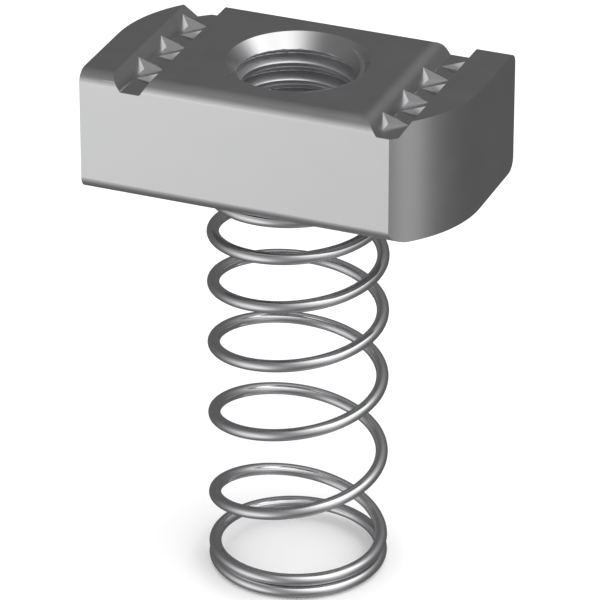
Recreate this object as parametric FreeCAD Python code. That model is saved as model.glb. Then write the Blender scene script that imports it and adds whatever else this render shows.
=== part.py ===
import FreeCAD
import Part
import math
import os

os.makedirs("parts", exist_ok=True)

# Strut spring nut. The foot of the spring is at height zero, the axis of the
# tapped hole is the vertical axis, the long side of the nut runs along X.

# Bar of the nut
BODY_LENGTH = 34.5
BODY_WIDTH = 18.5
BODY_THICKNESS = 11.7
OVERALL_HEIGHT = 51.07
LONG_EDGE_RADIUS = 1.2

# Two diagonal corners are cut by arcs so that the nut can turn in the slot
CORNER_ARC_RADIUS = 12.0
CORNER_ARC_OFFSET = 0.5

# Grooves that take the turned-in lips of the channel
GROOVE_SPACING = 24.36
GROOVE_OFFSET = -0.19
GROOVE_DEPTH = 1.43
GROOVE_FLOOR_WIDTH = 1.86
GROOVE_RAMP_RUN = 0.945
GROOVE_ROUND_RADIUS = 1.4

# Wedge teeth, one from each wall of the groove in turn
TOOTH_COUNT = 6
TOOTH_PITCH = 2.5
TOOTH_ROW_OFFSET = 0.17
TOOTH_HEIGHT = 0.95
TOOTH_SKEW = 0.14
TOOTH_LEAN = 0.25
TOOTH_BACK_RUN = 1.4
TOOTH_TIP_GAP = 0.12
TOOTH_ROOT_SCALE = 1.25

# Tapped hole for an M12 bolt, at thread root size
HOLE_RADIUS = 6.0
HOLE_TOP_RIM_RADIUS = 6.47
HOLE_FOOT_RIM_RADIUS = 6.3

# Coil spring
WIRE_RADIUS = 0.57
COIL_RADIUS = 7.75
COIL_PHASE_DEG = -68.0
FIRST_PITCH = 3.18
PITCH_GROWTH = 1.114
LAW_START_DROP = 0.35
TOP_END_TURN = -0.95
SEAT_LEAVE_TURN = -0.7
LAW_FIRST_TURN = 0.45
LAW_LAST_TURN = 5.68
FOOT_FIRST_TURN = 6.0
FOOT_END_TURN = 7.3
FOOT_RISE = 1.3
FOOT_CURVE = 1.6
ARCS_PER_TURN = 15

# Ring-shaped seat for the top turn, under the nut
SEAT_DEPTH = 1.2
SEAT_SIDE_CLEARANCE = 0.03
SEAT_TOP_CLEARANCE = 0.02

UP = FreeCAD.Vector(0, 0, 1)
ACROSS = FreeCAD.Vector(0, 1, 0)
HALF_TURN_DEG = 180

top_z = OVERALL_HEIGHT
underside_z = OVERALL_HEIGHT - BODY_THICKNESS
floor_z = top_z - GROOVE_DEPTH
half_length = BODY_LENGTH / 2
half_width = BODY_WIDTH / 2
groove_centres = [GROOVE_OFFSET + side * GROOVE_SPACING / 2 for side in (-1, 1)]


def point(x, y, z=0.0):
    return FreeCAD.Vector(x, y, z)


def on_arc(centre, radius, angle):
    return point(centre.x + radius * math.cos(angle), centre.y + radius * math.sin(angle))


def plan_outline():
    """Rectangle with an arc in place of its front right and its back left corner."""
    centre = point(half_length - CORNER_ARC_RADIUS, CORNER_ARC_OFFSET)
    seam_angle = -math.asin((half_width + CORNER_ARC_OFFSET) / CORNER_ARC_RADIUS)
    seam = on_arc(centre, CORNER_ARC_RADIUS, seam_angle)
    middle = on_arc(centre, CORNER_ARC_RADIUS, seam_angle / 2)
    tangent = on_arc(centre, CORNER_ARC_RADIUS, 0.0)
    square_back = point(half_length, half_width)
    edges = [
        Part.LineSegment(point(-half_length, -half_width), seam).toShape(),
        Part.Arc(seam, middle, tangent).toShape(),
        Part.LineSegment(tangent, square_back).toShape(),
    ]
    other_half = []
    for edge in edges:
        turned = edge.copy()
        turned.rotate(point(0, 0), UP, HALF_TURN_DEG)
        other_half.append(turned)
    return Part.Wire(edges + other_half)


def bar():
    """Bar with its four long edges rounded, trimmed to the plan outline."""
    block = Part.makeBox(
        BODY_LENGTH,
        BODY_WIDTH,
        BODY_THICKNESS,
        point(-half_length, -half_width, underside_z),
    )
    long_edges = []
    for edge in block.Edges:
        if abs(edge.tangentAt(edge.FirstParameter).x) > math.cos(math.radians(1)):
            long_edges.append(edge)
    block = block.makeFillet(LONG_EDGE_RADIUS, long_edges)
    column = Part.Face(plan_outline())
    column.translate(point(0, 0, underside_z - BODY_THICKNESS))
    column = column.extrude(point(0, 0, 3 * BODY_THICKNESS))
    return block.common(column)


def floor_edges(centre_x):
    """X of the left and the right edge of a groove's flat floor."""
    return centre_x - GROOVE_FLOOR_WIDTH / 2, centre_x + GROOVE_FLOOR_WIDTH / 2


def groove_cutter(centre_x):
    """Groove section run along Y: a flat floor, two sloping walls, the left one's top rounded."""
    floor_left, floor_right = floor_edges(centre_x)
    start_y = -BODY_WIDTH
    slope = math.atan2(GROOVE_DEPTH, GROOVE_RAMP_RUN)
    round_reach = GROOVE_ROUND_RADIUS * math.tan(slope / 2)
    left_corner = point(floor_left - GROOVE_RAMP_RUN, start_y, top_z)
    round_top = left_corner - point(round_reach, 0)
    round_foot = left_corner + point(round_reach * math.cos(slope), 0, -round_reach * math.sin(slope))
    round_centre = round_top - point(0, 0, GROOVE_ROUND_RADIUS)
    round_middle = round_centre + point(
        GROOVE_ROUND_RADIUS * math.sin(slope / 2),
        0,
        GROOVE_ROUND_RADIUS * math.cos(slope / 2),
    )
    left_foot = point(floor_left, start_y, floor_z)
    right_foot = point(floor_right, start_y, floor_z)
    right_corner = point(floor_right + GROOVE_RAMP_RUN, start_y, top_z)
    lift = point(0, 0, GROOVE_DEPTH)
    edges = [
        Part.Arc(round_top, round_middle, round_foot).toShape(),
        Part.LineSegment(round_foot, left_foot).toShape(),
        Part.LineSegment(left_foot, right_foot).toShape(),
        Part.LineSegment(right_foot, right_corner).toShape(),
        Part.LineSegment(right_corner, right_corner + lift).toShape(),
        Part.LineSegment(right_corner + lift, round_top + lift).toShape(),
        Part.LineSegment(round_top + lift, round_top).toShape(),
    ]
    return Part.Face(Part.Wire(edges)).extrude(ACROSS * (2 * BODY_WIDTH))


def away_from(anchor, corner, scale):
    return anchor + (corner - anchor) * scale


def tetrahedron(corners):
    faces = []
    for skipped in range(len(corners)):
        triangle = [corner for index, corner in enumerate(corners) if index != skipped]
        faces.append(Part.Face(Part.makePolygon(triangle + triangle[:1])))
    solid = Part.Solid(Part.Shell(faces))
    if solid.Volume < 0:
        solid.reverse()
    return solid


def tooth(wall_x, direction, tooth_y):
    """Wedge that is tall at its own wall and runs out to nothing at the other wall.

    Its steep face looks to the front. The wedge is rooted in the wall and the floor.
    """
    reach = GROOVE_FLOOR_WIDTH - TOOTH_TIP_GAP
    crest_run = GROOVE_RAMP_RUN * TOOTH_HEIGHT / GROOVE_DEPTH
    tip = point(wall_x + direction * reach, tooth_y + TOOTH_SKEW, floor_z)
    crest = point(wall_x - direction * crest_run, tooth_y, floor_z + TOOTH_HEIGHT)
    front = point(wall_x, tooth_y - TOOTH_LEAN, floor_z)
    back = point(wall_x, tooth_y + TOOTH_BACK_RUN, floor_z)
    into_wall = [away_from(tip, corner, TOOTH_ROOT_SCALE) for corner in (crest, front, back)]
    anchor = into_wall[0]
    low_corners = (tip, into_wall[1], into_wall[2])
    into_floor = [away_from(anchor, corner, TOOTH_ROOT_SCALE) for corner in low_corners]
    return tetrahedron([anchor] + into_floor)


def groove_teeth(centre_x, first_from_left):
    """Row of wedge teeth down one groove, from the left and the right wall in turn."""
    floor_left, floor_right = floor_edges(centre_x)
    row = []
    for index in range(TOOTH_COUNT):
        tooth_y = TOOTH_ROW_OFFSET + (index - (TOOTH_COUNT - 1) / 2) * TOOTH_PITCH
        from_left = (index % 2 == 0) == first_from_left
        if from_left:
            row.append(tooth(floor_left, 1, tooth_y))
        else:
            row.append(tooth(floor_right, -1, tooth_y))
    return row


def bore_cutter():
    """Plain bore at thread root size, with a chamfer at each mouth."""
    over = BODY_THICKNESS
    top_drop = HOLE_TOP_RIM_RADIUS - HOLE_RADIUS
    foot_rise = HOLE_FOOT_RIM_RADIUS - HOLE_RADIUS
    profile = [
        point(0, 0, underside_z - over),
        point(HOLE_FOOT_RIM_RADIUS, 0, underside_z - over),
        point(HOLE_FOOT_RIM_RADIUS, 0, underside_z),
        point(HOLE_RADIUS, 0, underside_z + foot_rise),
        point(HOLE_RADIUS, 0, top_z - top_drop),
        point(HOLE_TOP_RIM_RADIUS, 0, top_z),
        point(HOLE_TOP_RIM_RADIUS, 0, top_z + over),
        point(0, 0, top_z + over),
        point(0, 0, underside_z - over),
    ]
    return Part.Face(Part.makePolygon(profile)).revolve(point(0, 0), UP, 2 * HALF_TURN_DEG)


def seat_cutter():
    """Ring-shaped recess under the nut that holds the spring's top turn."""
    half_gap = WIRE_RADIUS + SEAT_SIDE_CLEARANCE
    below = point(0, 0, underside_z - SEAT_DEPTH)
    outer = Part.makeCylinder(COIL_RADIUS + half_gap, 2 * SEAT_DEPTH, below)
    inner = Part.makeCylinder(COIL_RADIUS - half_gap, 2 * SEAT_DEPTH, below)
    return outer.cut(inner)


def nut_body():
    solid = bar()
    solid = solid.cut([groove_cutter(centre_x) for centre_x in groove_centres])
    left_centre, right_centre = groove_centres
    teeth = groove_teeth(left_centre, False) + groove_teeth(right_centre, True)
    solid = solid.fuse(teeth)
    solid = solid.cut([bore_cutter(), seat_cutter()])
    return solid.removeSplitter().Solids[0]


def law_height(turn):
    """Height of the wire's centre where the pitch grows evenly from turn to turn."""
    start = underside_z - LAW_START_DROP
    return start - FIRST_PITCH * turn - PITCH_GROWTH / 2 * turn ** 2


def law_slope(turn):
    return -FIRST_PITCH - PITCH_GROWTH * turn


def foot_height(turn):
    """Last turns: an almost closed coil that settles to level at its end."""
    share = max(0.0, FOOT_END_TURN - turn) / (FOOT_END_TURN - FOOT_FIRST_TURN)
    return WIRE_RADIUS + FOOT_RISE * share ** FOOT_CURVE


def foot_slope(turn):
    span = FOOT_END_TURN - FOOT_FIRST_TURN
    share = max(0.0, FOOT_END_TURN - turn) / span
    return -FOOT_CURVE * FOOT_RISE * share ** (FOOT_CURVE - 1) / span


def blend(turn, first, last):
    """Cubic between two (turn, height, slope) ends."""
    span = last[0] - first[0]
    u = (turn - first[0]) / span
    return (
        (2 * u ** 3 - 3 * u ** 2 + 1) * first[1]
        + (u ** 3 - 2 * u ** 2 + u) * span * first[2]
        + (3 * u ** 2 - 2 * u ** 3) * last[1]
        + (u ** 3 - u ** 2) * span * last[2]
    )


def wire_height(turn):
    seat_z = underside_z + SEAT_DEPTH - SEAT_TOP_CLEARANCE - WIRE_RADIUS
    seat_end = (SEAT_LEAVE_TURN, seat_z, 0.0)
    law_start = (LAW_FIRST_TURN, law_height(LAW_FIRST_TURN), law_slope(LAW_FIRST_TURN))
    law_end = (LAW_LAST_TURN, law_height(LAW_LAST_TURN), law_slope(LAW_LAST_TURN))
    foot_start = (FOOT_FIRST_TURN, foot_height(FOOT_FIRST_TURN), foot_slope(FOOT_FIRST_TURN))
    if turn <= SEAT_LEAVE_TURN:
        return seat_z
    if turn < LAW_FIRST_TURN:
        return blend(turn, seat_end, law_start)
    if turn <= LAW_LAST_TURN:
        return law_height(turn)
    if turn < FOOT_FIRST_TURN:
        return blend(turn, law_end, foot_start)
    return foot_height(turn)


def wire_centre(turn):
    """Centre of the wire at a place on the coil, counted in turns from its phase angle."""
    angle = math.radians(COIL_PHASE_DEG) - 2 * math.pi * turn
    return point(COIL_RADIUS * math.cos(angle), COIL_RADIUS * math.sin(angle), wire_height(turn))


def coil_spring():
    """Round wire swept down a right-handed coil of growing pitch, as a chain of short arcs."""
    count = math.ceil((FOOT_END_TURN - TOP_END_TURN) * ARCS_PER_TURN)
    arc_turn = (FOOT_END_TURN - TOP_END_TURN) / count
    arcs = []
    for index in range(count):
        start = TOP_END_TURN + index * arc_turn
        places = [wire_centre(start + share * arc_turn) for share in (0, 1 / 2, 1)]
        arcs.append(Part.Arc(*places).toShape())
    first = arcs[0]
    heading = first.tangentAt(first.FirstParameter)
    section = Part.Wire([Part.Circle(wire_centre(TOP_END_TURN), heading, WIRE_RADIUS).toShape()])
    return Part.Wire(arcs).makePipeShell([section], True, True).Solids[0]


nodes = {
    "nut_body": nut_body(),
    "coil_spring": coil_spring(),
}
for name, solid in nodes.items():
    box = solid.BoundBox
    print(name, solid.isValid(), round(solid.Volume, 1), [round(v, 3) for v in (
        box.XMin, box.XMax, box.YMin, box.YMax, box.ZMin, box.ZMax)])
    solid.exportStep("parts/" + name + ".step")
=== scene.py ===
import math

import bpy
import numpy as np
from bpy.props import FloatProperty, PointerProperty, StringProperty
from bpy.types import Operator, Panel, PropertyGroup
from mathutils import Matrix, Vector


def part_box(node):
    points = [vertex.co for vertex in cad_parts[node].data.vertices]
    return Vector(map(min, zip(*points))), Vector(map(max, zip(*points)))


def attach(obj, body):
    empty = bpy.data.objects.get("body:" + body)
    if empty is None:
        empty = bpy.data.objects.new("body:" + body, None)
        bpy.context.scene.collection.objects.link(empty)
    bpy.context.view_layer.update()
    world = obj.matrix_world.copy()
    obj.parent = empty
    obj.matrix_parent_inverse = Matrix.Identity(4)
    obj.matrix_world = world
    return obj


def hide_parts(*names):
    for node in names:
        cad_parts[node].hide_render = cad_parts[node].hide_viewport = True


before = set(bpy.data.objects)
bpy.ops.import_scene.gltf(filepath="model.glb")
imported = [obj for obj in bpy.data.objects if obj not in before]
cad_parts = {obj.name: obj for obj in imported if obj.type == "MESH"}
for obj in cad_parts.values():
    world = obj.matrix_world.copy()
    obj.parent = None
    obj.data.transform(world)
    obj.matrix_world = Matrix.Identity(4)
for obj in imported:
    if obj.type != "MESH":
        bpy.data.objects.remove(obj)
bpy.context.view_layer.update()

bl_info = {
    "name": "Strut spring nut",
    "version": (1, 0, 0),
    "blender": (4, 5, 0),
    "location": "3D View > Sidebar > Spring nut",
    "description": "Builds a toothed channel nut with its thread and its variable-pitch spring",
    "category": "Object",
}

MM = 0.001
NUT_LOW, NUT_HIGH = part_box("nut_body")
NUT_STEEL = "zinc_plated_pressed_steel"

# The two grooves: how far the pair lies off the nut's middle, how far apart they are, and
# the widths of their floors and of their sloping walls.
GROOVE_OFFSET_MM = -0.19
GROOVE_SPACING_MM = 24.36
GROOVE_FLOOR_WIDTH_MM = 1.86
GROOVE_RAMP_RUN_MM = 0.945

# Small steps between surfaces: the thread piece over the nut's own chamfers, the easing of
# the thread's crest, the land piece over the nut's land and under its rounding, and how
# far out of the corner arc a point counts as standing out of it.
SKIN_MM = 0.02
CREST_EASING_MM = 0.05
LAND_LIFT_MM = 0.004
LAND_OVERLAP_MM = 0.03
STAND_OUT_MM = 0.02

# How finely the pieces are divided, and the angle from which an edge shows as sharp.
THREAD_SIDES, THREAD_LEVELS = 192, 230
TOP_MOUTH_LEVELS, FOOT_MOUTH_LEVELS = 9, 7
LAND_CLIMB_STATIONS, LAND_LEVEL_STATIONS, LAND_ARC_POINTS = 14, 10, 9
WIRE_STATIONS, WIRE_SIDES = 1000, 24
SHARP_ANGLE = math.radians(50)

# Marks along the wire, counted in turns: its top end, where it leaves the seat, where the
# law of the open coils starts and ends, where the foot coil starts, and its foot end.
TOP_END, SEAT_LEAVE = -0.95, -0.7
LAW_FIRST, LAW_LAST = 0.45, 5.68
FOOT_FIRST, FOOT_END = 6.0, 7.27

# Patterns of the metals: size of a patch of the broad drift, the part of the noise's range
# that is used, and the darkest tone. On the wire the patterns are drawn out: the share of
# the grain's fineness that is left lengthwise, streaks around the wire, and the broad
# drift's scale against the fine one's.
BROAD_PATCH_MM = 3.2
NOISE_LOW, NOISE_HIGH = 0.3, 0.7
DARKEST_TONE = 0.96
LENGTHWISE_SHARE = 0.06
STREAKS_AROUND = 6.0
WIRE_BROAD_SCALE = 0.12

# Studio room seen in reflections: grey of its walls, and its soft boxes as direction,
# sharpness and strength.
ROOM_GREY = 0.133
SOFT_BOXES = (
    ((0.79, -0.38, 0.48), 5.4, 1.35),
    ((0.29, -0.33, 0.90), 13.7, 0.99),
    ((0.69, 0.22, 0.69), 26.6, 0.98),
    ((0.42, 0.28, 0.86), 6.1, 0.46),
    ((-0.65, -0.75, -0.14), 5.5, 0.98),
    ((-0.37, -0.85, -0.37), 48.0, 0.40),
    ((-0.62, -0.45, -0.64), 46.4, 0.21),
    ((0.84, -0.33, -0.44), 26.1, 0.26),
    ((0.27, 0.04, -0.96), 9.7, 0.26),
)

# Soft panel that lights the floor: where it hangs, which way it runs, size and brightness.
KEY_DIRECTION = (0.63, -0.12, 0.75)
KEY_RUN = (0.54, 1.12, -0.41)
KEY_DISTANCE = 0.5
KEY_SIZE = (0.85, 0.50)
KEY_RADIANCE = 1.0

# Half the side of the square floor, in metres.
FLOOR_REACH = 3

# Camera: its angle round the object and above it, the point it looks at and how far off it
# stands, and its focal length in pixels of a frame that is 600 wide.
VIEW_AZIMUTH, VIEW_ELEVATION = math.radians(21.965), math.radians(27.636)
VIEW_TARGET_MM = (0.176, 0.0, 27.06)
VIEW_DISTANCE_MM = 453.29
FOCAL_PIXELS, FRAME_PIXELS = 4964.517, 600
SENSOR_MM = 36.0
CLIP_START = 0.01


def linear(hex_colour):
    """An sRGB hex value such as #808080 as linear red, green, blue and alpha."""
    value = hex_colour.lstrip("#")
    srgb = np.array([int(value[i:i + 2], 16) for i in (0, 2, 4)]) / 255.0
    rgb = np.where(srgb <= 0.04045, srgb / 12.92, ((srgb + 0.055) / 1.055) ** 2.4)
    return (*rgb.tolist(), 1.0)


def add_node(tree, kind, inputs=None, **settings):
    """Adds a node, sets its properties, and fills or links its sockets by name or number."""
    node = tree.nodes.new(kind)
    for name, value in settings.items():
        setattr(node, name, value)
    for socket, value in (inputs or {}).items():
        target = node.inputs[socket]
        if isinstance(value, bpy.types.NodeSocket):
            tree.links.new(value, target)
        else:
            target.default_value = value
    return node


class NutSizes(PropertyGroup):
    """The nut's tapped hole, the wall of its left groove and its corner arcs."""

    thread_pitch: FloatProperty(
        name="Thread pitch", description="Rise of the thread in one turn",
        default=1.75 * MM, unit="LENGTH")
    root_radius: FloatProperty(
        name="Thread root radius", description="Half of the bolt size",
        default=6.0 * MM, unit="LENGTH")
    crest_radius: FloatProperty(
        name="Thread crest radius", description="Half of the bore left between the crests",
        default=5.053 * MM, unit="LENGTH")
    top_rim_radius: FloatProperty(
        name="Top rim radius", description="Outer radius of the chamfer at the top mouth",
        default=6.47 * MM, unit="LENGTH")
    foot_rim_radius: FloatProperty(
        name="Foot rim radius", description="Outer radius of the chamfer at the lower mouth",
        default=6.3 * MM, unit="LENGTH")
    thread_start: FloatProperty(
        name="Thread start", description="Angle at which the thread starts at the top",
        default=math.radians(131), subtype="ANGLE")
    groove_depth: FloatProperty(
        name="Groove depth", description="Depth of the two grooves",
        default=1.43 * MM, unit="LENGTH")
    ramp_run: FloatProperty(
        name="Ramp run", description="Width of a groove's sloping wall",
        default=GROOVE_RAMP_RUN_MM * MM, unit="LENGTH")
    edge_round: FloatProperty(
        name="Edge rounding", description="Radius at the top of the left walls",
        default=1.4 * MM, unit="LENGTH")
    left_wall_top: FloatProperty(
        name="Left wall top", description="Where the left groove's outer wall meets the land",
        default=(GROOVE_OFFSET_MM - GROOVE_SPACING_MM / 2 - GROOVE_FLOOR_WIDTH_MM / 2
                 - GROOVE_RAMP_RUN_MM) * MM, unit="LENGTH")
    long_edge_radius: FloatProperty(
        name="Long edge radius", description="Radius of the nut's long edges",
        default=1.2 * MM, unit="LENGTH")
    corner_arc_radius: FloatProperty(
        name="Corner arc radius", description="Radius of the two cut corners in plan",
        default=12.0 * MM, unit="LENGTH")
    corner_arc_offset: FloatProperty(
        name="Corner arc offset", description="How far the arcs' centres lie off the middle",
        default=0.5 * MM, unit="LENGTH")


class SpringSizes(PropertyGroup):
    """The coil spring under the nut."""

    wire_radius: FloatProperty(
        name="Wire radius", description="Half of the wire's thickness",
        default=0.57 * MM, unit="LENGTH")
    coil_radius: FloatProperty(
        name="Coil radius", description="Radius of the coil at the middle of the wire",
        default=7.75 * MM, unit="LENGTH")
    first_pitch: FloatProperty(
        name="First pitch", description="Rise of one turn just under the nut",
        default=3.18 * MM, unit="LENGTH")
    pitch_growth: FloatProperty(
        name="Pitch growth", description="How much each turn's rise is more than the last one's",
        default=1.114 * MM, unit="LENGTH")
    law_drop: FloatProperty(
        name="Start drop",
        description="How far under the nut's underside the open coils' law starts",
        default=0.35 * MM, unit="LENGTH")
    seat_height: FloatProperty(
        name="Seat height", description="Height of the top turn's middle above the nut's underside",
        default=0.61 * MM, unit="LENGTH")
    foot_pitch: FloatProperty(
        name="Foot pitch",
        description="Rise of one turn of the closed foot coil, just over the wire",
        default=1.15 * MM, unit="LENGTH")
    foot_dip: FloatProperty(
        name="Foot dip",
        description="How far the foot coil sags between its two points of contact",
        default=0.33 * MM, unit="LENGTH")
    foot_lift: FloatProperty(
        name="Foot lift", description="How soon the last open turn rises off the foot coil",
        default=1.1 * MM, unit="LENGTH")
    phase: FloatProperty(
        name="Phase", description="Angle at which the turns are counted from",
        default=math.radians(-68), subtype="ANGLE")


class SteelColours(PropertyGroup):
    """Colours of the metal and of the stage."""

    nut_hex: StringProperty(
        name="Nut zinc", description="Zinc plate on the pressed nut, sRGB hex",
        default="#CBCBCC")
    thread_hex: StringProperty(
        name="Thread steel", description="Cut steel of the thread, sRGB hex",
        default="#D2D2D4")
    wire_hex: StringProperty(
        name="Spring zinc", description="Zinc plate on the drawn wire, sRGB hex",
        default="#D6D6D8")
    floor_hex: StringProperty(
        name="Floor", description="Floor of the studio, sRGB hex",
        default="#FFFFFF")


def metal(name, hex_colour, roughness, spread, grain_mm, bump_mm, along_wire=False):
    """Plated or cut steel: one base colour, a roughness that drifts, and a fine relief.

    As the broad noise runs over the used part of its range, roughness goes from
    roughness - spread / 2 to roughness + spread / 2 and the tone from the darkest to 1.
    The relief is noise with one cell per grain_mm; on the wire both are drawn out along
    the wire's own UV map.
    """
    material = bpy.data.materials.new(name)
    material.use_nodes = True
    tree = material.node_tree
    tree.nodes.clear()
    place = add_node(tree, "ShaderNodeTexCoord")
    if along_wire:
        stretched = add_node(tree, "ShaderNodeMapping", {
            "Vector": place.outputs["UV"],
            "Scale": (LENGTHWISE_SHARE / (grain_mm * MM), STREAKS_AROUND, 1.0)})
        coordinate = stretched.outputs["Vector"]
        fine_scale, broad_scale = 1.0, WIRE_BROAD_SCALE
    else:
        coordinate = place.outputs["Object"]
        fine_scale, broad_scale = 1.0 / (grain_mm * MM), 1.0 / (BROAD_PATCH_MM * MM)
    fine = add_node(tree, "ShaderNodeTexNoise", {
        "Vector": coordinate, "Scale": fine_scale, "Detail": 3.0, "Roughness": 0.55})
    broad = add_node(tree, "ShaderNodeTexNoise", {
        "Vector": coordinate, "Scale": broad_scale, "Detail": 2.0, "Roughness": 0.5})
    rough = add_node(tree, "ShaderNodeMapRange", {
        "Value": broad.outputs["Fac"], "From Min": NOISE_LOW, "From Max": NOISE_HIGH,
        "To Min": roughness - spread / 2, "To Max": roughness + spread / 2})
    tone = add_node(tree, "ShaderNodeMapRange", {
        "Value": broad.outputs["Fac"], "From Min": NOISE_LOW, "From Max": NOISE_HIGH,
        "To Min": DARKEST_TONE, "To Max": 1.0})
    colour = add_node(tree, "ShaderNodeVectorMath", {
        0: linear(hex_colour)[:3], "Scale": tone.outputs["Result"]}, operation="SCALE")
    relief = add_node(tree, "ShaderNodeBump", {
        "Height": fine.outputs["Fac"], "Strength": 1.0, "Distance": bump_mm * MM})
    shader = add_node(tree, "ShaderNodeBsdfPrincipled", {
        "Base Color": colour.outputs["Vector"], "Metallic": 1.0,
        "Roughness": rough.outputs["Result"], "Normal": relief.outputs["Normal"]})
    add_node(tree, "ShaderNodeOutputMaterial", {"Surface": shader.outputs["BSDF"]})
    return material


def surface_object(name, points, close_u=False, close_v=False, cap_ends=False):
    """Mesh of a grid of points: points[i, j] is the surface at the two parameters i and j.

    Quad (i, j) joins points (i, j), (i + 1, j), (i + 1, j + 1) and (i, j + 1), with the
    last row or column joined to the first where that direction is closed. cap_ends
    closes the first and last row, each a ring, with one flat face. A face looks the way
    of the i direction crossed with the j direction, so the points run for that to be
    outwards.
    """
    rows, columns = points.shape[:2]
    i = np.arange(rows if close_u else rows - 1)
    j = np.arange(columns if close_v else columns - 1)
    i, j = np.meshgrid(i, j, indexing="ij")
    row, next_row = i * columns, (i + 1) % rows * columns
    next_j = (j + 1) % columns
    quads = np.stack([row + j, next_row + j, next_row + next_j, row + next_j], -1)
    corners = quads.ravel()
    sizes = np.full(i.size, 4)
    if cap_ends:
        first = np.arange(columns)
        last = (rows - 1) * columns + first[::-1]
        corners = np.concatenate([corners, last, first])
        sizes = np.concatenate([sizes, [columns, columns]])
    starts = np.concatenate([[0], np.cumsum(sizes)[:-1]])
    mesh = bpy.data.meshes.new(name)
    mesh.vertices.add(rows * columns)
    mesh.vertices.foreach_set("co", points.reshape(-1).astype(np.float32))
    mesh.loops.add(len(corners))
    mesh.loops.foreach_set("vertex_index", corners.astype(np.int32))
    mesh.polygons.add(len(sizes))
    mesh.polygons.foreach_set("loop_start", starts.astype(np.int32))
    mesh.update(calc_edges=True)
    mesh.validate()
    mesh.polygons.foreach_set("use_smooth", np.ones(len(mesh.polygons), bool))
    mesh.set_sharp_from_angle(angle=SHARP_ANGLE)
    mesh.update()
    piece = bpy.data.objects.new(name, mesh)
    bpy.context.scene.collection.objects.link(piece)
    return piece


def blend(t, t0, z0, s0, t1, z1, s1):
    """Cubic in t through height z0 with slope s0 at t0 and height z1 with slope s1 at t1."""
    span = t1 - t0
    u = (t - t0) / span
    return ((2 * u ** 3 - 3 * u ** 2 + 1) * z0 + (u ** 3 - 2 * u ** 2 + u) * span * s0
            + (3 * u ** 2 - 2 * u ** 3) * z1 + (u ** 3 - u ** 2) * span * s1)


def wire_heights(turns, sizes):
    """Height of the wire's middle at each turn t.

    In the seat: level. In the open coils: underside - drop - p t - g t^2 / 2, with the
    first pitch p and the growth g. In the foot, s turns before the wire's end: wire radius
    + foot pitch s - dip sin(pi s)^2, and from s = 1 on also + lift (s - 1)^2, so that each
    turn clears the one under it. Cubics join the three.
    """
    underside = NUT_LOW[2]
    p, g = sizes.first_pitch, sizes.pitch_growth

    def law(t):
        return underside - sizes.law_drop - p * t - g / 2 * t ** 2

    def foot(t):
        s = FOOT_END - t
        return (sizes.wire_radius + sizes.foot_pitch * s
                - sizes.foot_dip * np.sin(np.pi * s) ** 2
                + sizes.foot_lift * np.clip(s - 1, 0, None) ** 2)

    seat = underside + sizes.seat_height
    s = FOOT_END - FOOT_FIRST
    foot_slope = (-sizes.foot_pitch + np.pi * sizes.foot_dip * math.sin(2 * np.pi * s)
                  - 2 * sizes.foot_lift * (s - 1))
    leave = blend(turns, SEAT_LEAVE, seat, 0.0,
                  LAW_FIRST, law(LAW_FIRST), -p - g * LAW_FIRST)
    land = blend(turns, LAW_LAST, law(LAW_LAST), -p - g * LAW_LAST,
                 FOOT_FIRST, foot(FOOT_FIRST), foot_slope)
    return np.select(
        [turns <= SEAT_LEAVE, turns < LAW_FIRST, turns <= LAW_LAST, turns < FOOT_FIRST],
        [np.full_like(turns, seat), leave, law(turns), land],
        foot(turns))


def trimmed_to_arc(node, centre, radius):
    """Copy of a node's mesh in which nothing stands out of its far left corner arc.

    The root of the rearmost tooth comes through that arc as one small point. The point
    goes to the middle of its neighbours, pushed on to the arc's circle: centre + radius
    times the direction from the centre. The faces that meet there get that direction
    as their normal.
    """
    mesh = node.data.copy()
    normals = np.empty(len(mesh.loops) * 3, np.float32)
    mesh.corner_normals.foreach_get("vector", normals)
    normals = normals.reshape(-1, 3)
    place = np.empty(len(mesh.vertices) * 3, np.float32)
    mesh.vertices.foreach_get("co", place)
    place = place.reshape(-1, 3)
    corner = np.empty(len(mesh.loops), np.int32)
    mesh.loops.foreach_get("vertex_index", corner)
    faces = corner.reshape(-1, 3)
    off = place[:, :2] - centre
    far_left = (off[:, 0] < 0) & (off[:, 1] > 0)
    beyond = far_left & (np.linalg.norm(off, axis=1) > radius + STAND_OUT_MM * MM)
    if not beyond.any():
        return mesh
    touched = beyond[faces].any(1)
    around = np.setdiff1d(faces[touched], np.nonzero(beyond)[0])
    middle = place[around].mean(0)
    middle[:2] = centre + (middle[:2] - centre) * radius / np.linalg.norm(middle[:2] - centre)
    place[beyond] = middle
    mesh.vertices.foreach_set("co", place.ravel())
    outwards = np.zeros((len(corner), 3))
    outwards[:, :2] = place[corner, :2] - centre
    outwards /= np.linalg.norm(outwards, axis=1, keepdims=True)
    patch = np.repeat(touched, 3)
    normals[patch] = outwards[patch]
    mesh.update()
    mesh.normals_split_custom_set(normals.tolist())
    return mesh


class SPRINGNUT_OT_nut_body(Operator):
    """Nut body in zinc-plated steel, with nothing standing out of its corner arc"""

    bl_idname = "springnut.nut_body"
    bl_label = "Nut body"

    def execute(self, context):
        sizes = context.scene.nut_sizes
        colours = context.scene.steel_colours
        # Zinc-plated pressed steel, barrel-plated: a grey satin with soft reflections.
        steel = metal(NUT_STEEL, colours.nut_hex,
                      roughness=0.2, spread=0.05, grain_mm=0.35, bump_mm=0.0015)
        centre = np.array([NUT_LOW[0] + sizes.corner_arc_radius, -sizes.corner_arc_offset])
        mesh = trimmed_to_arc(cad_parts["nut_body"], centre, sizes.corner_arc_radius)
        mesh.materials.clear()
        mesh.materials.append(steel)
        piece = bpy.data.objects.new("nut_body_trimmed", mesh)
        context.scene.collection.objects.link(piece)
        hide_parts("nut_body")
        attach(piece, "root")
        return {"FINISHED"}


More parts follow.
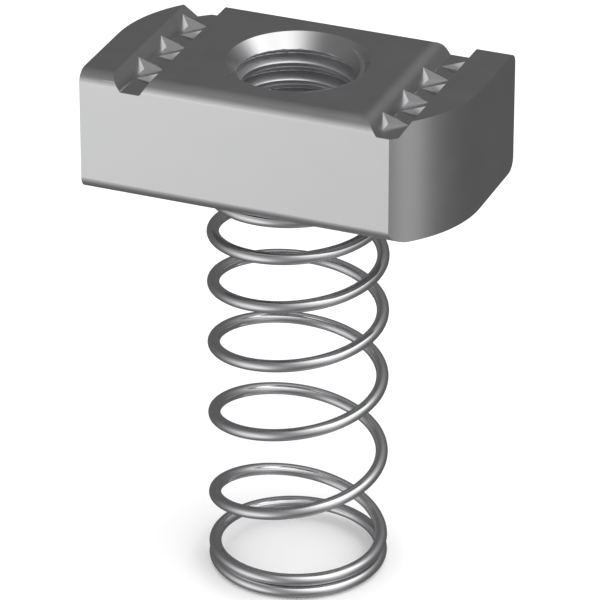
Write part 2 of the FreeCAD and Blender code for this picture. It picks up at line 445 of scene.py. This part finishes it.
class SPRINGNUT_OT_thread(Operator):
    """Internal thread of the hole, and its chamfered mouths"""

    bl_idname = "springnut.thread"
    bl_label = "Thread"

    def execute(self, context):
        sizes = context.scene.nut_sizes
        colours = context.scene.steel_colours
        # Cut steel of the tapped thread, duller than the plated faces.
        steel = metal("tapped_steel", colours.thread_hex,
                      roughness=0.36, spread=0.06, grain_mm=0.3, bump_mm=0.001)
        top, foot = NUT_HIGH[2], NUT_LOW[2]
        root, crest, pitch = sizes.root_radius, sizes.crest_radius, sizes.thread_pitch
        top_edge = top - (sizes.top_rim_radius - root)
        foot_edge = foot + (sizes.foot_rim_radius - root)
        skin = SKIN_MM * MM
        around = np.linspace(2 * np.pi, 0, THREAD_SIDES, endpoint=False)
        heights = np.concatenate([
            np.linspace(top, top_edge, TOP_MOUTH_LEVELS)[:-1],
            np.linspace(top_edge, foot_edge, THREAD_LEVELS),
            np.linspace(foot_edge, foot, FOOT_MOUTH_LEVELS)[1:]])
        z, angle = np.meshgrid(heights, around, indexing="ij")
        # The thread's radius is crest + sqrt(3) x, at most the root, where x is the distance
        # past the crest's flat and the crest climbs one pitch a turn. The crest's corner is
        # eased: x becomes (x + sqrt(x^2 + e^2)) / 2 with e the easing. Each mouth's 45 degree
        # chamfer cuts it back to rim - depth, a skin's thickness over the nut's own.
        share = (z - top) / pitch - (angle - sizes.thread_start) / (2 * np.pi)
        off_crest = np.abs(share - np.floor(share) - 0.5) * pitch
        past = off_crest - pitch / 8
        eased = (past + np.sqrt(past ** 2 + (CREST_EASING_MM * MM) ** 2)) / 2
        thread = np.minimum(crest + math.sqrt(3) * eased, root - skin / 2)
        top_cone = sizes.top_rim_radius - skin - (top - z)
        foot_cone = sizes.foot_rim_radius - skin - (z - foot)
        chamfer = np.maximum(top_cone, foot_cone)
        radius = np.maximum(thread, chamfer)
        inner = np.stack([radius * np.cos(angle), radius * np.sin(angle), z], -1)
        # The backing lies inside the nut's metal, two skins behind its chamfers and bore.
        back_radius = np.array([
            sizes.foot_rim_radius, root + 2 * skin, root + 2 * skin, sizes.top_rim_radius])
        back_z = np.array([
            foot + 2 * skin, foot_edge + 2 * skin, top_edge - 2 * skin, top - 2 * skin])
        backing = np.stack([
            back_radius[:, None] * np.cos(around), back_radius[:, None] * np.sin(around),
            np.broadcast_to(back_z[:, None], (len(back_z), len(around)))], -1)
        points = np.concatenate([inner, backing], 0)
        piece = surface_object("hole_thread", points, close_u=True, close_v=True)
        piece.data.materials.append(steel)
        piece.data.materials.append(bpy.data.materials[NUT_STEEL])
        plated = np.concatenate([chamfer >= thread, np.zeros(backing.shape[:2], bool)])
        piece.data.polygons.foreach_set("material_index", plated.ravel().astype(np.int32))
        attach(piece, "root")
        return {"FINISHED"}


class SPRINGNUT_OT_land_edge(Operator):
    """Crisp top edge of the left groove's outer wall"""

    bl_idname = "springnut.land_edge"
    bl_label = "Left land edge"

    def execute(self, context):
        sizes = context.scene.nut_sizes
        slope = math.atan2(sizes.groove_depth, sizes.ramp_run)
        reach = sizes.edge_round * math.tan(slope / 2)
        top, lift, overlap = NUT_HIGH[2], LAND_LIFT_MM * MM, LAND_OVERLAP_MM * MM
        r = sizes.long_edge_radius
        middle_y, middle_z = NUT_LOW[1] + r, top - r
        wall_foot = top - reach * math.sin(slope)
        # The land's height at each station along Y: it climbs the quarter circle of the
        # front edge from the foot of the rounding, then runs level to the back corner.
        stations = LAND_CLIMB_STATIONS + LAND_LEVEL_STATIONS
        foot_angle = math.asin((wall_foot - middle_z) / r)
        climb = np.linspace(foot_angle, math.pi / 2, LAND_CLIMB_STATIONS)
        front = middle_y - r * np.cos(climb)
        height = np.concatenate([middle_z + r * np.sin(climb), np.full(LAND_LEVEL_STATIONS, top)])
        height = height[:, None]
        # Section at a station: land, corner, wall down to its foot, and an arc back just
        # inside the nut's own rounding, all cut off at the land's height.
        turn = np.linspace(slope, 0, LAND_ARC_POINTS)
        inside = sizes.edge_round - overlap
        arc_x = np.broadcast_to(-reach + inside * np.sin(turn), (stations, LAND_ARC_POINTS))
        arc_z = np.minimum(top - sizes.edge_round + inside * np.cos(turn), height - overlap)
        corner_x = (top - height) * sizes.ramp_run / sizes.groove_depth
        foot_x = np.full((stations, 1), reach * math.cos(slope))
        x = sizes.left_wall_top + np.concatenate([
            np.full((stations, 1), -reach), corner_x, foot_x, arc_x], 1)
        z = np.concatenate([
            height + lift, height + lift, np.full((stations, 1), wall_foot), arc_z], 1)
        # The back corner's arc is a circle in plan.
        centre_x, centre_y = NUT_LOW[0] + sizes.corner_arc_radius, -sizes.corner_arc_offset
        back = centre_y + np.sqrt(sizes.corner_arc_radius ** 2 - (x - centre_x) ** 2)
        share = np.concatenate([
            np.zeros(LAND_CLIMB_STATIONS), np.linspace(0, 1, LAND_LEVEL_STATIONS + 1)[1:]])
        share = share[:, None]
        start = np.concatenate([front, np.full(LAND_LEVEL_STATIONS, middle_y)])[:, None]
        points = np.stack([x, start + share * (back - start), z], -1)
        # The section runs the other way round, so that the faces look outwards.
        piece = surface_object("left_land_edge", points[:, ::-1], close_v=True, cap_ends=True)
        piece.data.materials.append(bpy.data.materials[NUT_STEEL])
        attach(piece, "root")
        return {"FINISHED"}


class SPRINGNUT_OT_spring(Operator):
    """Coil spring of growing pitch"""

    bl_idname = "springnut.spring"
    bl_label = "Coil spring"

    def execute(self, context):
        sizes = context.scene.spring_sizes
        colours = context.scene.steel_colours
        # Zinc-plated drawn wire: brighter and smoother than the pressed nut, drawn lengthwise.
        wire = metal("zinc_plated_drawn_wire", colours.wire_hex,
                     roughness=0.13, spread=0.04, grain_mm=0.4, bump_mm=0.001,
                     along_wire=True)
        turns = np.linspace(TOP_END, FOOT_END, WIRE_STATIONS)
        angle = sizes.phase - 2 * np.pi * turns
        centre = np.stack([
            sizes.coil_radius * np.cos(angle),
            sizes.coil_radius * np.sin(angle),
            wire_heights(turns, sizes)], -1)
        tangent = np.gradient(centre, axis=0)
        tangent /= np.linalg.norm(tangent, axis=1, keepdims=True)
        outward = np.stack([np.cos(angle), np.sin(angle), np.zeros_like(angle)], -1)
        side = np.cross(outward, tangent)
        side /= np.linalg.norm(side, axis=1, keepdims=True)
        outward = np.cross(tangent, side)
        # The round section at each station: centre + r (outward cos a + side sin a).
        around = np.linspace(0, 2 * np.pi, WIRE_SIDES, endpoint=False)
        ring = (outward[:, None, :] * np.cos(around)[None, :, None]
                + side[:, None, :] * np.sin(around)[None, :, None])
        points = centre[:, None, :] + sizes.wire_radius * ring
        piece = surface_object("coil_spring_wire", points, close_v=True, cap_ends=True)
        # UV map: the length run along the wire, and the share of the way round it.
        steps = np.linalg.norm(np.diff(centre, axis=0), axis=1)
        run = np.concatenate([[0], np.cumsum(steps)])
        corner = np.empty(len(piece.data.loops), dtype=np.int32)
        piece.data.loops.foreach_get("vertex_index", corner)
        station, spoke = np.divmod(corner, WIRE_SIDES)
        uv = np.stack([run[station], around[spoke] / (2 * np.pi)], -1)
        layer = piece.data.uv_layers.new(name="wire_run")
        layer.data.foreach_set("uv", uv.astype(np.float32).ravel())
        piece.data.materials.append(wire)
        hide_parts("coil_spring")
        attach(piece, "root")
        return {"FINISHED"}


class SPRINGNUT_OT_stage(Operator):
    """White floor, studio surroundings, lamp and camera"""

    bl_idname = "springnut.stage"
    bl_label = "Stage"

    def execute(self, context):
        scene = context.scene
        reach = FLOOR_REACH
        floor_mesh = bpy.data.meshes.new("studio_floor")
        floor_mesh.from_pydata(
            [(-reach, -reach, 0), (reach, -reach, 0), (reach, reach, 0), (-reach, reach, 0)],
            [], [(0, 1, 2, 3)])
        floor = bpy.data.objects.new("studio_floor", floor_mesh)
        scene.collection.objects.link(floor)
        # Matt studio paint: no gloss, so that only the object's shadow shows on it.
        paint = bpy.data.materials.new("floor_paint")
        paint.use_nodes = True
        tree = paint.node_tree
        tree.nodes.clear()
        matt = add_node(tree, "ShaderNodeBsdfDiffuse", {
            "Color": linear(scene.steel_colours.floor_hex)})
        add_node(tree, "ShaderNodeOutputMaterial", {"Surface": matt.outputs["BSDF"]})
        floor_mesh.materials.append(paint)
        floor.visible_glossy = False
        self.surroundings(scene)
        self.lamp(scene)
        self.camera(scene)
        scene.view_settings.view_transform = "Standard"
        return {"FINISHED"}

    def surroundings(self, scene):
        """White backdrop for the eye and for plain light, and a studio room in reflections.

        The room is dark grey. Its brightness at a direction adds the soft boxes, each a
        strength times e to the power of sharpness times (cosine of the angle to it - 1).
        """
        world = bpy.data.worlds.new("studio")
        scene.world = world
        world.use_nodes = True
        tree = world.node_tree
        tree.nodes.clear()
        direction = add_node(tree, "ShaderNodeTexCoord").outputs["Generated"]
        total = ROOM_GREY
        for toward, sharpness, strength in SOFT_BOXES:
            facing = add_node(tree, "ShaderNodeVectorMath", {
                0: direction, 1: Vector(toward).normalized()}, operation="DOT_PRODUCT")
            power = add_node(tree, "ShaderNodeMath", {
                0: facing.outputs["Value"], 1: sharpness, 2: -sharpness},
                operation="MULTIPLY_ADD")
            glow = add_node(tree, "ShaderNodeMath", {
                0: power.outputs["Value"]}, operation="EXPONENT")
            added = add_node(tree, "ShaderNodeMath", {
                0: glow.outputs["Value"], 1: strength, 2: total}, operation="MULTIPLY_ADD")
            total = added.outputs["Value"]
        path = add_node(tree, "ShaderNodeLightPath")
        room = add_node(tree, "ShaderNodeBackground", {
            "Color": (1, 1, 1, 1), "Strength": total})
        white = add_node(tree, "ShaderNodeBackground", {
            "Color": (1, 1, 1, 1), "Strength": 1.0})
        either = add_node(tree, "ShaderNodeMixShader", {
            0: path.outputs["Is Glossy Ray"],
            1: white.outputs["Background"], 2: room.outputs["Background"]})
        add_node(tree, "ShaderNodeOutputWorld", {"Surface": either.outputs["Shader"]})

    def lamp(self, scene):
        """One long soft panel over the right-hand side of the nut."""
        away = Vector(KEY_DIRECTION).normalized()
        side = Vector(KEY_RUN)
        side = (side - away * side.dot(away)).normalized()
        light = bpy.data.lights.new("soft_key", "AREA")
        light.shape = "RECTANGLE"
        light.size, light.size_y = KEY_SIZE
        light.energy = KEY_RADIANCE * math.pi * KEY_SIZE[0] * KEY_SIZE[1]
        holder = bpy.data.objects.new("soft_key", light)
        holder.visible_glossy = False
        scene.collection.objects.link(holder)
        turned = Matrix((side, away.cross(side), away)).transposed().to_4x4()
        place = Matrix.Translation(away * KEY_DISTANCE + Vector((0, 0, NUT_HIGH[2])))
        holder.matrix_world = place @ turned

    def camera(self, scene):
        """Camera that stands back from its target along its azimuth and elevation."""
        target = Vector(VIEW_TARGET_MM) * MM
        back = Vector((
            math.sin(VIEW_AZIMUTH) * math.cos(VIEW_ELEVATION),
            -math.cos(VIEW_AZIMUTH) * math.cos(VIEW_ELEVATION),
            math.sin(VIEW_ELEVATION)))
        eye = bpy.data.cameras.new("camera")
        eye.sensor_width = SENSOR_MM
        eye.lens = SENSOR_MM * FOCAL_PIXELS / FRAME_PIXELS
        eye.clip_start = CLIP_START
        holder = bpy.data.objects.new("camera", eye)
        scene.collection.objects.link(holder)
        place = Matrix.Translation(target + back * VIEW_DISTANCE_MM * MM)
        holder.matrix_world = place @ back.to_track_quat("Z", "Y").to_matrix().to_4x4()
        scene.camera = holder


class SPRINGNUT_PT_panel(Panel):
    """Sizes, colours and the steps that build the spring nut"""

    bl_idname = "SPRINGNUT_PT_panel"
    bl_label = "Spring nut"
    bl_space_type = "VIEW_3D"
    bl_region_type = "UI"
    bl_category = "Spring nut"

    def draw(self, context):
        layout = self.layout
        scene = context.scene
        for group in (scene.nut_sizes, scene.spring_sizes, scene.steel_colours):
            box = layout.box()
            for name in group.__annotations__:
                box.prop(group, name)
        for operator in OPERATORS:
            layout.operator(operator.bl_idname)


OPERATORS = (
    SPRINGNUT_OT_nut_body, SPRINGNUT_OT_thread, SPRINGNUT_OT_land_edge,
    SPRINGNUT_OT_spring, SPRINGNUT_OT_stage)
CLASSES = (NutSizes, SpringSizes, SteelColours, *OPERATORS, SPRINGNUT_PT_panel)


def register():
    for cls in CLASSES:
        bpy.utils.register_class(cls)
    bpy.types.Scene.nut_sizes = PointerProperty(type=NutSizes)
    bpy.types.Scene.spring_sizes = PointerProperty(type=SpringSizes)
    bpy.types.Scene.steel_colours = PointerProperty(type=SteelColours)


def unregister():
    del bpy.types.Scene.steel_colours
    del bpy.types.Scene.spring_sizes
    del bpy.types.Scene.nut_sizes
    for cls in reversed(CLASSES):
        bpy.utils.unregister_class(cls)


def main():
    register()
    bpy.ops.springnut.nut_body()
    bpy.ops.springnut.thread()
    bpy.ops.springnut.land_edge()
    bpy.ops.springnut.spring()
    bpy.ops.springnut.stage()


if __name__ == "__main__":
    main()
